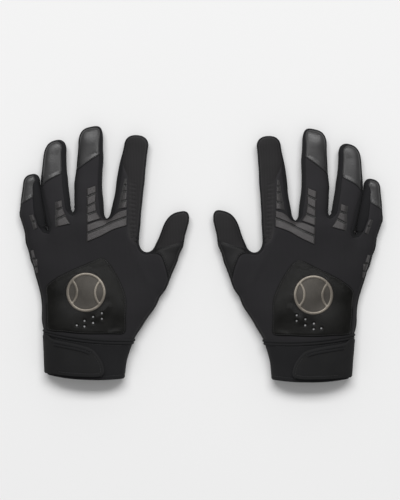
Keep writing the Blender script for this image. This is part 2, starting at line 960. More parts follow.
    def columns(self, stations: Array, start: Array, end: Array, rows: int) -> Face:
        """Points around the side of the glove, a column at each station.

        Args:
            stations: the stations of the outline.
            start: the angle of each column's first point.
            end: the angle of its last point.
            rows: how many steps a column has.

        Returns:
            The points, column by column.
        """
        share = np.linspace(0, 1, rows + 1)
        angle = start[:, None] + (end - start)[:, None] * share[None]
        inward = self.inward[stations]
        origin = self.xy[stations] + inward * self.ray_depth
        origin = np.column_stack([origin, np.full(len(stations), self.form.girth)])
        level = np.cos(angle)
        way = np.stack([-inward[:, :1] * level, -inward[:, 1:] * level, np.sin(angle)], axis=-1)
        start = np.repeat(origin, rows + 1, axis=0)
        p = self.form.strike(start, way.reshape(-1, 3), self.ray_reach, first=True)
        return Face(p, self.form.normal(p))


@dataclass
class Seam:
    """A seam across the back: the stations of its two ends, and the line between them."""

    start: int
    end: int
    line: Array

    def shifted(self, amount: float) -> Array:
        """The line moved sideways, to the right of its travel."""
        return self.line + rightward(np.gradient(self.line, axis=0)) * amount


@dataclass
class Piece:
    """One finished piece of the left glove, with what it stands for and moves with."""

    name: str
    shape: Shape
    finish: str
    slot: str
    stands_for: tuple[str, ...] = ()
    part: Part = Part.HAND


def tubes(paths: Array, up: Array, radii: Array, sides: int) -> Shape:
    """Short closed tubes, all alike.

    Args:
        paths: the middle of each tube, station by station.
        up: a direction that no tube runs along, one for each tube.
        radii: the radius at each station.
        sides: how many sides each tube has.

    Returns:
        The tubes as one mesh.
    """
    stages = paths.shape[1]
    way = unit(np.gradient(paths, axis=1))
    side = unit(np.cross(up[:, None], way))
    rise = np.cross(way, side)
    turn = np.arange(sides) / sides * 2 * math.pi
    ring = side[:, :, None] * np.cos(turn)[:, None] + rise[:, :, None] * np.sin(turn)[:, None]
    verts = (paths[:, :, None] + ring * radii[:, None, None]).reshape(-1, 3)
    faces = []
    neighbours = [(j, (j + 1) % sides) for j in range(sides)]
    for first in range(0, len(verts), stages * sides):
        last = first + (stages - 1) * sides
        for k in range(first, last, sides):
            faces += [(k + a, k + b, k + b + sides, k + a + sides) for a, b in neighbours]
        faces.append(tuple(first + j for j in reversed(range(sides))))
        faces.append(tuple(last + j for j in range(sides)))
    return Shape(verts, faces, verts[:, :2], np.ones(len(verts)))


@dataclass
class Thread:
    """Sewing thread: rounded stitches laid end to end along a line on the glove.

    The profile says where along half a stitch each ring lies, and how wide it is.
    """

    form: GloveForm
    pitch: float = 2.3
    length: float = 1.7
    radius: float = 0.27
    sides: int = 6
    profile: tuple = ((-1, 0.08), (-0.88, 0.62), (-0.5, 1), (0.5, 1), (0.88, 0.62), (1, 0.08))

    def row(self, line: Array, height: float | Array) -> Shape:
        """Stitches along a plan line.

        Args:
            line: the line the thread follows.
            height: how far it stands off the stuffed shape, one number or one a point.

        Returns:
            The stitches as one mesh.
        """
        face = self.form.back(line)
        points = face.points + face.normals * (height + self.form.waves(face.points))[:, None]
        travelled = arc_lengths(points)
        count = max(int(travelled[-1] / self.pitch), 1)
        middle = (np.arange(count) + 0.5) * travelled[-1] / count
        half = self.length / 2
        at, before, after = (sampled(points, travelled, middle + shift) for shift in (0, -half, half))
        up = sampled(face.normals, travelled, middle)
        reach, width = np.array(self.profile).T
        paths = at[:, None] + unit(after - before)[:, None] * (reach * half)[:, None]
        return tubes(paths, up, self.radius * width, self.sides)


@dataclass
class Layer:
    """How a flat-lying panel is finished at its edges, in millimetres."""

    thickness: float
    lift: float
    roll: float
    roll_width: float

    def high(self, off: Array) -> Array:
        """How far the outer side stands off the face: rolled down towards the edge."""
        return self.lift - self.roll * swell(off, self.roll_width)

    def low(self, off: Array) -> Array:
        """How far the inner side stands off the face."""
        return np.full(len(off), self.lift - self.thickness)


@dataclass
class BackPanels:
    """The knit panels and leather caps over the back of the hand, the fingers and the thumb."""

    outline: Outline
    knit: Layer = field(default_factory=lambda: Layer(1.2, 0.0, 0.7, 1.0))
    leather: Layer = field(default_factory=lambda: Layer(1.0, 0.2, 0.8, 0.95))
    hem_lift: float = 0.7
    hem_width: float = 1.9
    hem_fade: float = 0.9
    hem_thickness: float = 0.95
    hem_edge: float = 0.55
    hem_edge_drop: float = 0.75
    groove_width: float = 0.4
    groove_depth: float = 0.3
    thinnest: float = 0.25
    lap: float = 1.3
    rib_pitch: float = 3.7
    rib_depth: float = 0.6
    rib_width: float = 7.4
    rib_inset: float = 0.9
    rib_lean: float = 0.12
    rib_span: Pair = (124.0, 183.0)

    def __post_init__(self) -> None:
        """Finds the seams."""
        self.form = self.outline.form
        self.seams = {name: self.outline.seam(name) for name in SEAMS}

    def side(self, start: int, end: int) -> tuple[Array, Edge]:
        """A run along the top seam of the side strips."""
        return self.outline.top[self.outline.run(start, end)], Edge.SIDE

    def cuff_edge(self) -> tuple[Array, Edge]:
        """The edge of the hand at the cuff, from the thumb side to the little-finger side."""
        xs = np.linspace(self.outline.top[-1, 0], self.outline.top[0, 0], 80)[1:-1]
        return np.column_stack([xs, self.form.cuff_seam(xs)]), Edge.CUFF

    def beyond(self, seam: Seam, pitch: float) -> PlanMesh:
        """The plan of a panel that fills a finger from one seam to the tip."""
        return plan_mesh([self.side(seam.start, seam.end), (seam.line[::-1], Edge.CUT)], pitch=pitch)

    def plain(self, plan: PlanMesh, layer: Layer) -> Shape:
        """A panel whose edges are all sewn alike."""
        off = plan.off()
        return self.form.sheet(plan, layer.low(off), layer.high(off), off)

    def back(self) -> Piece:
        """The large knit panel.

        Returns:
            The panel.
        """
        edges, reached = [], 0
        for name in ("little", "ring", "middle", "index", "wedge"):
            seam = self.seams[name]
            edges += [self.side(reached, seam.start), (seam.line, Edge.CUT)]
            reached = seam.end
        edges += [self.side(reached, self.outline.count - 1), self.cuff_edge()]
        shape = self.plain(plan_mesh(edges, pitch=1.8), self.knit)
        return Piece("back_knit", shape, "back_jersey", "knit", ("back_panel",))

    def cap(self, name: str) -> Piece:
        """A leather fingertip, its lower edge lapped over the knit and topstitched.

        Args:
            name: the finger.

        Returns:
            The cap.
        """
        seam = self.seams[name]
        extra = int(self.lap / self.outline.step)
        start, end = seam.start - extra, seam.end + extra
        line = seam.shifted(self.lap)[2:-2]
        line = np.vstack([self.outline.top[start], line, self.outline.top[end]])
        plan = plan_mesh([self.side(start, end), (line[::-1], Edge.CUT)], pitch=1.5)
        off = plan.off(Edge.SIDE)
        hem = plan.off(Edge.CUT)
        fold = 1 - ease((hem - self.hem_width) / self.hem_fade)
        groove = swell(hem - self.hem_width - 0.5, self.groove_width) * self.groove_depth
        edge = (1 - rounded(hem / self.hem_edge)) * self.hem_edge_drop
        high = self.leather.high(off) + fold * self.hem_lift - groove - edge
        low = np.minimum(self.leather.low(off) + fold * self.hem_thickness, high - self.thinnest)
        shape = self.form.sheet(plan, low, high, np.minimum(off, hem))
        return Piece(f"{name}_cap", shape, "fingertip_leather", "leather", (f"{name}_fingertip",))

    def index_back(self) -> Piece:
        """The knit over the index finger, ribbed along the side that faces the thumb.

        Returns:
            The panel.
        """
        seam = self.seams["index"]
        plan = self.beyond(seam, pitch=0.9)
        off = plan.off()
        x, y = plan.points.T
        start = np.interp(y, seam.line[::-1, 1], seam.line[::-1, 0])
        foot, head = self.rib_span
        band = ease((x - start - self.rib_inset) / 0.7) * ease((start + self.rib_width - x) / 0.8)
        band *= ease((y - foot) / 4) * ease((head - y) / 2)
        turn = 2 * math.pi * (y + (x - start) * self.rib_lean) / self.rib_pitch
        furrow = band * (1 - (0.5 + 0.5 * np.cos(turn)) ** 0.6)
        high = self.knit.high(off) - furrow * self.rib_depth
        off = off - furrow * (off + 1)
        shape = self.form.sheet(plan, self.knit.low(off), high, off)
        return Piece("index_knit", shape, "index_jersey", "knit", ("index_back_panel",))

    def thumb_back(self) -> Piece:
        """The knit cap of the thumb."""
        shape = self.plain(self.beyond(self.seams["thumb"], pitch=1.6), self.knit)
        return Piece("thumb_knit", shape, "index_jersey", "knit", ("thumb_back_panel",))

    def thumb_wedge(self) -> Piece:
        """The leather wedge at the base of the thumb.

        Returns:
            The wedge.
        """
        thumb, wedge = self.seams["thumb"], self.seams["wedge"]
        plan = plan_mesh([
            self.side(wedge.start, thumb.start),
            (thumb.line, Edge.CUT),
            self.side(thumb.end, wedge.end),
            (wedge.line[::-1], Edge.CUT),
        ], pitch=1.5)
        shape = self.plain(plan, self.leather)
        return Piece("thumb_wedge", shape, "palm_leather", "leather", ("thumb_leather",))

    def pieces(self) -> list[Piece]:
        """All the panels of the back."""
        caps = [self.cap(name) for name in ("little", "ring", "middle")]
        return [self.back(), self.index_back(), self.thumb_back(), self.thumb_wedge(), *caps]


@dataclass
class SideStrips:
    """The knit strips between the fingers, from fingertip to fingertip through each web."""

    outline: Outline
    layer: Layer = field(default_factory=lambda: Layer(1.1, 0.05, 0.75, 0.95))
    rows: int = 12
    gap: float = 0.12
    nearest_path: float = 5.0
    touching_room: float = 4.0
    touching_fade: float = 1.2
    slit: float = 0.12
    parting_y: float = 178.0
    parting_fade: float = 4.0
    fullness: float = 0.7

    def bulge(self, grid: Array, down: Array) -> Array:
        """How far the soft strip fills a narrow slit between two fingers.

        Args:
            grid: the strip's face, station by station.
            down: how far each point lies below the upper seam.

        Returns:
            The amount at each point.
        """
        middle = grid[:, self.rows // 2, :2]
        away = np.linalg.norm(middle[:, None] - middle[None], axis=2)
        path = np.arange(len(middle)) * self.outline.step
        away[np.abs(path[:, None] - path[None]) < self.nearest_path] = np.inf
        room = away.min(axis=1)
        fill = np.clip(room / 2 - self.slit, 0, None) * ease((self.touching_room - room) / self.touching_fade)
        fill *= ease((self.parting_y - middle[:, 1]) / self.parting_fade)
        return fill[:, None] * np.sin(np.clip(down / down[:, -1:], 0, 1) * math.pi) ** self.fullness

    def strip(self, start: str, end: str) -> Piece:
        """The strip between two neighbouring fingertips.

        Args:
            start: the finger on the little-finger side.
            end: the finger on the thumb side.

        Returns:
            The strip.
        """
        line = self.outline
        stations = line.run(line.tip[start], line.tip[end])
        top, foot = line.seam_angles(stations, self.gap)
        face = line.columns(stations, top, foot, self.rows)
        grid = face.points.reshape(len(stations), self.rows + 1, 3)
        down = run_lengths(grid)
        off = np.minimum(down, down[:, -1:] - down).ravel()
        plan = np.column_stack([np.repeat(stations * line.step, self.rows + 1), down.ravel()])
        wave = line.form.waves(face.points) + self.bulge(grid, down).ravel()
        high, low = self.layer.high(off) + wave, self.layer.low(off) + wave
        shape = thicken(face, grid_triangles(len(stations), self.rows + 1), low, high, plan, off)
        name = f"{start}_{end}_strip"
        return Piece(name, shape, "side_strip_knit", "knit", (f"{start}_{end}_side_strip",))

    def pieces(self) -> list[Piece]:
        """All four strips."""
        fingers = list(TIPS)
        return [self.strip(a, b) for a, b in zip(fingers[:-1], fingers[1:])]


@dataclass
class Palm:
    """The leather palm: the whole underside, carried up over both outer edges of the hand."""

    outline: Outline
    layer: Layer = field(default_factory=lambda: Layer(1.0, 0.0, 0.55, 0.95))
    rows: int = 12
    gap: float = 0.12
    cuff_lap: float = 0.3

    def pieces(self) -> list[Piece]:
        """The palm as one piece.

        Returns:
            The palm, alone in a list.
        """
        line, form = self.outline, self.outline.form
        stops = list(line.tip.values())
        skirts = [line.run(0, stops[0]), line.run(stops[-1], line.count - 1)]
        outline = [(line.under[skirts[0]], Edge.FREE)]
        outline += [(line.under[line.run(a, b)], Edge.SIDE) for a, b in zip(stops[:-1], stops[1:])]
        outline.append((line.under[skirts[1]], Edge.FREE))
        xs = np.linspace(line.under[-1, 0], line.under[0, 0], 70)[1:-1]
        outline.append((np.column_stack([xs, form.cuff_seam(xs) + self.cuff_lap]), Edge.CUFF))
        plan = plan_mesh(outline, pitch=3.2, rim=(0.7, 1.8))
        face = form.palm(plan.points)
        triangles = [plan.triangles]
        pattern = [plan.points]
        off = [plan.off(Edge.SIDE, Edge.CUFF)]
        count = len(plan.points)
        for stations in skirts:
            foot_index = [line.nearest(plan.points, line.under[s]) for s in stations]
            top, foot = line.seam_angles(stations, self.gap)
            columns = line.columns(stations, foot, top, self.rows)
            grid, normals = (
                table.reshape(len(stations), self.rows + 1, 3) for table in (columns.points, columns.normals)
            )
            climbed = run_lengths(grid)
            face = face + Face(grid[:, 1:].reshape(-1, 3), normals[:, 1:].reshape(-1, 3))
            added = count + np.arange(len(stations) * self.rows).reshape(-1, self.rows)
            index = np.column_stack([foot_index, added]).ravel()
            triangles.append(index[grid_triangles(len(stations), self.rows + 1)][:, [0, 2, 1]])
            along = np.repeat(stations * line.step, self.rows)
            pattern.append(np.column_stack([along, climbed[:, 1:].ravel()]))
            off.append((climbed[:, -1:] - climbed)[:, 1:].ravel())
            count += len(stations) * self.rows
        triangles = np.vstack(triangles)
        distinct = (triangles[:, 0] != triangles[:, 1]) & (triangles[:, 1] != triangles[:, 2])
        triangles = triangles[distinct & (triangles[:, 2] != triangles[:, 0])]
        off = np.concatenate(off)
        wave = form.waves(face.points)
        raised = ease((face.points[:, 2] - 0.5) / 3)
        high = self.layer.high(off) * raised + wave
        shape = thicken(face, triangles, self.layer.low(off) + wave, high, np.vstack(pattern), off)
        return [Piece("palm_leather", shape, "palm_leather", "leather", ("palm_panel",))]


# Flex bars: the line down one side of each bar and down the other, bar by bar.
BARS = {
    "middle_flex_bars": [
        ([(-1.5, 173.9), (7.2, 177.2)], [(-1.1, 167), (7.3, 170.9)]),
        ([(-1.1, 165.8), (7.3, 169.7)], [(-0.9, 158.1), (6.8, 162.4)]),
        ([(-0.9, 156.9), (6.8, 161.2)], [(-0.9, 150.7), (7.8, 154.4)]),
        ([(-0.9, 149.5), (7.8, 153.2)], [(-0.7, 142.7), (11.8, 147.1)]),
    ],
    "ring_flex_bars": [
        ([(-29.7, 161), (-23.2, 163.6)], [(-29, 154.6), (-22.4, 157.1)]),
        ([(-29, 153.4), (-22.4, 155.9)], [(-29.3, 145.6), (-19.8, 150.4)]),
        ([(-29.3, 144.4), (-19.8, 149.2)], [(-28.6, 138.8), (-15, 141.8)]),
    ],
    "little_flex_bars": [
        ([(-52.6, 148.8), (-49.2, 149.8)], [(-50.3, 143), (-46.9, 144.7)]),
        ([(-50.1, 141.8), (-46.7, 143.5)], [(-48.2, 135.8), (-44.8, 137.7)]),
    ],
    "index_flex_bars": [
        ([(32.6, 183.4), (34.4, 183.6)], [(31.3, 178), (34.6, 178.3)]),
        ([(31, 176.8), (34.7, 177.1)], [(30.1, 172.3), (34.8, 172.7)]),
        ([(29.8, 171.1), (34.8, 171.5)], [(28.3, 163.1), (34.9, 164.7)]),
        ([(28.1, 161.9), (35, 163.5)], [(26.9, 156.1), (35.1, 157.3)]),
    ],
    "knuckle_bands": [
        (
            [(-0.7, 141.5), (11, 145.7), (17.5, 145.6), (22, 147.8), (24.6, 151.2), (28, 154), (35.2, 156)],
            [
                (-0.5, 134.2), (9, 138.2), (14.5, 140.6), (20, 143.6),
                (24.5, 145.6), (30, 147.8), (35.4, 149.9),
            ],
        ),
        (
            [(-0.5, 133.1), (13.2, 138.9), (22.8, 143.9), (35.4, 148.8)],
            [(-0.5, 125.8), (13.4, 132), (22.9, 137.1), (35.4, 141.4)],
        ),
    ],
    "edge_flex_bars": [
        ([(-50.6, 117.8), (-48, 118)], [(-49.1, 110.9), (-46.2, 110.9)]),
        ([(-48.9, 109.8), (-44.3, 109.8)], [(-47.1, 103.7), (-43.7, 103.7)]),
        ([(-46.9, 102.6), (-43.6, 102.6)], [(-45.5, 97.2), (-43.2, 97.2)]),
    ],
}
# How far from its first end a bar takes to rise, in the groups where that isn't the usual length.
BAR_FADES = {"index_flex_bars": 6.0, "ring_flex_bars": 4.0, "little_flex_bars": 4.0, "edge_flex_bars": 1.2}


@dataclass
class FlexBars:
    """Moulded bars on a thin film: each is a ridge with a soft top, between two lines across the finger."""

    form: GloveForm
    base: float = 0.1
    film: float = 0.12
    crown: float = 1.05
    shoulder: float = 0.6
    pitch: float = 0.7
    fade: float = 1.4
    end_width: float = 1.0
    slope: float = 0.2
    bedding: float = 0.45

    def patch(self, name: str, bars: list) -> Piece:
        """The bars of one finger.

        Args:
            name: the name of the group.
            bars: the two long edges of each bar.

        Returns:
            The film with its ridges.
        """
        fade = BAR_FADES.get(name, self.fade)
        lines = [(spline(head, self.pitch), spline(foot, self.pitch)) for head, foot in bars]
        columns = max(len(line) for pair in lines for line in pair)
        share = np.linspace(0, 1, columns)
        points, heights, offs = [], [], []
        for head, foot in lines:
            a, b = (self.stretched(line, share) for line in (head, foot))
            depth = np.linalg.norm(a - b, axis=1).mean()
            steps = max(int(depth / self.pitch) + 4, 8)
            across = np.concatenate([[0], np.linspace(0.02, 0.98, steps), [1]])
            for t in across:
                row = a + (b - a) * t
                from_edge = min(t, 1 - t) * depth
                rise = rounded(from_edge / self.shoulder)
                length = np.linalg.norm(row[-1] - row[0])
                faded = ease(share * length / fade) * ease((1 - share) * length / self.end_width)
                slope = 1 - self.slope * (1 - t)
                points.append(row)
                heights.append(self.film + (self.crown - self.film) * rise * faded * slope)
                offs.append(ease((from_edge - 0.1) / 0.6) * (0.15 + 0.85 * faded))
        plan = PlanMesh(np.vstack(points), grid_triangles(len(points), columns), {})
        high = self.base + np.concatenate(heights)
        shape = self.form.sheet(plan, self.base - self.bedding, high, np.concatenate(offs))
        return Piece(f"{name}_moulding", shape, "flex_bar_rubber", "bars", (name,))

    @staticmethod
    def stretched(line: Array, share: Array) -> Array:
        """The points of a line at given shares of its length."""
        travelled = arc_lengths(line)
        return sampled(line, travelled / travelled[-1], share)

    def pieces(self) -> list[Piece]:
        """All the groups of bars."""
        return [self.patch(name, bars) for name, bars in BARS.items()]


# The edge of the badge, and the middles of its seven perforations.
BADGE_OUTLINE = [
    (-33.6, 47.4), (-34.4, 56), (-35, 66), (-35.6, 76), (-36, 85), (-28, 92.6), (-11.9, 101.3),
    (-0.3, 106.6), (9.6, 111.2), (14.7, 112.2), (19.8, 108.7), (25.1, 101.1), (32, 88.6), (36.2, 76.1),
    (36, 59.3), (35.2, 45.6), (22, 44.4), (0, 43.9), (-18, 45.2),
]
PERFORATIONS = [(-7.2, 51.6), (-0.5, 55.7), (-0.4, 50.7), (7.1, 59.4), (7.2, 54), (14.9, 62.8), (15, 57.8)]


@dataclass
class Badge:
    """The moulded panel on the back of the hand, its perforations and the plain ball sign on it."""

    form: GloveForm
    gap: float = 0.1
    thickness: float = 1.1
    rim_drop: float = 0.7
    rim_width: float = 1.0
    pillow: float = 0.25
    pillow_width: float = 9.0
    hole: float = 1.0
    hole_drop: float = 0.6
    hole_rim: float = 0.45
    eyelet: float = 0.9
    eyelet_dome: float = 0.55
    line_inset: float = 4.2
    line_width: float = 0.55
    line_depth: float = 0.38
    line_end: Pair = (4.0, 50.0)
    sign_centre: Pair = (0.4, 81.0)
    sign_radius: float = 17.5
    sign_rim: float = 2.6
    sign_height: float = 0.85
    sign_edge: float = 0.8
    ground_inset: float = 0.8
    ground_height: float = 0.42
    arc_step: float = 0.8
    seam_offset: float = 22.0
    seam_radius: float = 14.0
    seam_width: float = 2.4

    @staticmethod
    def border(inset: float = 0.0) -> Array:
        """The outline of the panel, moved inwards."""
        line = spline(BADGE_OUTLINE, 1.0, closed=True)
        return line + rightward(np.roll(line, -1, axis=0) - np.roll(line, 1, axis=0)) * inset

    def panel(self) -> Piece:
        """The panel, with a pressed line inside its border and seven holes.

        Returns:
            The panel.
        """
        holes = [circle(at, self.hole, 14) for at in PERFORATIONS]
        plan = plan_mesh([(self.border(), Edge.CUT)], holes, pitch=1.6)
        off = plan.off(Edge.CUT)
        hole = plan.off(Edge.FREE)
        x, y = plan.points.T
        end_x, end_y = self.line_end
        pressed = swell(off - self.line_inset, self.line_width)
        pressed *= ease((end_x - x) / 10) * ease((y - end_y) / 6)
        rim = swell(off, self.rim_width) + self.hole_drop * swell(hole, self.hole_rim)
        pillow = self.pillow * ease(off / self.pillow_width)
        high = self.gap + self.thickness + pillow - self.rim_drop * rim - self.line_depth * pressed
        shape = self.form.sheet(plan, self.gap - 0.3, high, off)
        return Piece("badge", shape, "badge_film", "badge", ("badge_panel",))

    def backing(self) -> Piece:
        """The pale cloth that shows through the perforations.

        Returns:
            The eyelets.
        """
        shapes = []
        for at in PERFORATIONS:
            plan = plan_mesh([(circle(at, self.eyelet, 12), Edge.FREE)], pitch=0.5, rim=())
            off = plan.off()
            dome = self.eyelet_dome * np.sqrt(np.clip(off / self.eyelet, 0, 1))
            shapes.append(self.form.sheet(plan, -0.1, dome, off))
        return Piece("badge_eyelets", sum(shapes[1:], shapes[0]), "pale_eyelet", "emblem")

    def sign(self) -> Piece:
        """A plain ball: a rim with two curved seams joined to it, raised and rounded.

        Returns:
            The sign.
        """
        inner = self.sign_radius - self.sign_rim
        centre = np.array(self.sign_centre)

        def arc(middle: float, radius: float, start: float, end: float, flip: int = 1) -> Array:
            """Points along an arc about a centre on the sign's level axis.

            Args:
                middle: the place of the centre.
                radius: the radius of the arc.
                start: its first angle.
                end: its last angle.
                flip: minus one for the mirror image.

            Returns:
                The points.
            """
            count = max(int(abs(end - start) * radius / self.arc_step), 2)
            t = np.linspace(start, end, count + 1)
            return np.column_stack([flip * (middle + np.cos(t) * radius), np.sin(t) * radius])

        def meet(radius: float) -> Pair:
            """The angles, about the ball and about the seam, where a seam meets the rim.

            Args:
                radius: the radius of the seam's edge.

            Returns:
                Both angles.
            """
            x = (radius**2 - inner**2 - self.seam_offset**2) / (2 * self.seam_offset)
            y = math.sqrt(inner**2 - x * x)
            return math.atan2(y, x), math.atan2(y, x + self.seam_offset)

        small = self.seam_radius - self.seam_width / 2
        large = self.seam_radius + self.seam_width / 2
        near_rim, near_seam = meet(small)
        far_rim, far_seam = meet(large)
        holes = []
        for flip in (1, -1):
            rim = arc(0, inner, near_rim, 2 * math.pi - near_rim, flip)
            seam = arc(-self.seam_offset, small, -near_seam, near_seam, flip)
            holes.append(np.vstack([rim, seam]))
        waist = arc(-self.seam_offset, large, -far_seam, far_seam)
        roof = arc(0, inner, far_rim, math.pi - far_rim)
        holes.append(np.vstack([waist, roof, waist[::-1] * (-1, 1), roof[::-1] * (1, -1)]))
        loops = [self.cleaned(hole + centre) for hole in holes]
        rim = circle(self.sign_centre, self.sign_radius, 129)
        plan = plan_mesh([(rim, Edge.FREE)], loops, pitch=0.9, rim=(0.22, 0.5, 0.9))
        off = plan.off()
        base = self.gap + self.thickness
        high = base + self.pillow + self.sign_height * (0.3 + 0.7 * rounded(off / self.sign_edge))
        shape = self.form.sheet(plan, base - 0.2, high, off)
        return Piece("ball_sign", shape, "bronze_foil", "emblem", ("ball_emblem",))

    def ground(self) -> Piece:
        """The dull foil that fills the ball.

        Returns:
            The foil.
        """
        rim = circle(self.sign_centre, self.sign_radius - self.ground_inset, 89)
        plan = plan_mesh([(rim, Edge.FREE)], pitch=1.8, rim=(0.8,))
        level = self.gap + self.thickness
        shape = self.form.sheet(plan, level - 0.15, level + self.ground_height, plan.off())
        return Piece("ball_ground", shape, "dull_foil", "emblem")

    @staticmethod
    def cleaned(loop: Array) -> Array:
        """A closed loop without points that lie on each other."""
        away = np.linalg.norm(loop - np.roll(loop, 1, axis=0), axis=1)
        return loop[away > 0.2]

    def pieces(self) -> list[Piece]:
        """The panel and what is on it."""
        return [self.panel(), self.backing(), self.ground(), self.sign()]


@dataclass
class Cuff:
    """The cuff: a tube round the wrist with a short vent slit, and the welt over its seam to the hand."""

    form: GloveForm
    thickness: float = 2.2
    slit_angle: float = 2.52
    slit_half: float = 0.006
    slit_closed: float = 0.0002
    slit_reach: float = 0.4
    around: int = 220
    rows: int = 26
    wrist_guess: float = 37.0
    seam_gap: float = 0.2
    hem_roll: float = 0.9
    hem_drop: float = 0.8
    hem_rise: float = 0.7
    hem_line: float = 3.6
    hem_line_width: float = 0.5
    hem_line_depth: float = 0.3
    welt_steps: int = 120
    welt_rows: int = 17
    welt_width: float = 4.8
    welt_height: float = 1.1
    welt_span: Pair = (-8.0, 188.0)

    def ring(self, angle: Array, share: Array, head: float = 0.0) -> Face:
        """Points around the wrist.

        Args:
            angle: the angle of each point about the middle of the wrist.
            share: how far up each lies, from nought at the hem to one at the hand.
            head: a shift of the upper end, in millimetres.

        Returns:
            The points on the outer face.
        """
        x = np.cos(angle) * self.wrist_guess
        for _ in range(3):
            y = self.form.hem(x) * (1 - share) + (self.form.cuff_seam(x) + head) * share
            p = self.form.round_wrist(angle, y)
            x = p[:, 0]
        return self.form.laid(p)

    def band(self) -> Piece:
        """The tube, rolled at its hem, with a sewn line above it.

        Returns:
            The cuff.
        """
        shares = np.concatenate([[0, 0.012, 0.03, 0.055, 0.08, 0.1, 0.12], np.linspace(0.15, 1, self.rows)])
        share = np.tile(shares, self.around)
        half = self.slit_closed + self.slit_half * (1 - ease((share - self.slit_reach) / 0.1))
        turn = np.repeat(np.linspace(0, 1, self.around), len(shares))
        angle = self.slit_angle + half + turn * 2 * (math.pi - half)
        face = self.ring(angle, share, -self.seam_gap)
        up = run_lengths(face.points.reshape(self.around, len(shares), 3)).ravel()
        raised = ease((face.points[:, 2] - 0.3) / 2)
        wave = self.form.waves(face.points)
        hem = swell(up, self.hem_roll)
        groove = swell(up - self.hem_line, self.hem_line_width) * self.hem_line_depth
        high = wave - (hem * self.hem_drop + groove) * raised
        low = -self.thickness + wave + hem * self.hem_rise
        plan = np.column_stack([np.repeat(np.arange(self.around) * 0.8, len(shares)), up])
        shape = thicken(face, grid_triangles(self.around, len(shares)), low, high, plan, up)
        return Piece("cuff", shape, "cuff_neoprene", "cuff", ("cuff_band",))

    def welt(self) -> Piece:
        """The welt along the seam between hand and cuff: two cords side by side.

        Returns:
            The welt.
        """
        count = self.welt_steps
        across = np.linspace(-1, 1, self.welt_rows)
        angle = np.repeat(np.radians(np.linspace(*self.welt_span, count)), len(across))
        t = np.tile(across, count)
        y = self.ring(angle, np.ones(len(angle))).points[:, 1] + t * self.welt_width / 2
        p = self.form.round_wrist(angle, y)
        wave = self.form.waves(p)
        station = np.repeat(np.arange(count), len(across))
        end = 0.35 + 0.65 * ease(np.minimum(station, count - 1 - station) / 4)
        high = wave + 0.15 + self.welt_height * two_cords(t) * end
        plan = np.column_stack([station * 0.8, t * self.welt_width / 2])
        face = Face(p, self.form.normal(p))
        off = two_cords(t) * 1.6
        shape = thicken(face, grid_triangles(count, len(across)), wave - 0.3, high, plan, off)
        return Piece("cuff_welt", shape, "binding_tape", "cuff", ("cuff_binding",))

    def pieces(self) -> list[Piece]:
        """The band and its welt."""
        return [self.band(), self.welt()]


# The strap's edge from the fold round its free end, its raised band, and both patches of closure tape.
STRAP_TOP = [
    (-27.6, 38.4), (-20, 37.1), (-10, 35.3), (-2, 33.6), (3.6, 32), (7.6, 30), (10.6, 27), (13.2, 23.4),
    (15.4, 19.4), (16.8, 15), (17.2, 10.8), (15.8, 7.8), (10.1, 6.2), (-4, 6.2), (-17, 6.8), (-27.6, 7.6),
]
STRAP_PIPING = [(-26.8, 37.4), (-20, 36.3), (-10.2, 34.5), (-2.3, 32.8), (3.2, 31.2), (6.8, 29.4)]
HOOK_OUTLINE = [(-6, 8), (8, 8), (13.4, 9), (12.6, 16), (8, 21), (0, 24), (-6, 25)]
LOOP_OUTLINE = [(-9, 7.4), (11, 7.4), (14, 10), (13, 17), (8.6, 22.2), (0, 25.6), (-9, 26.6)]


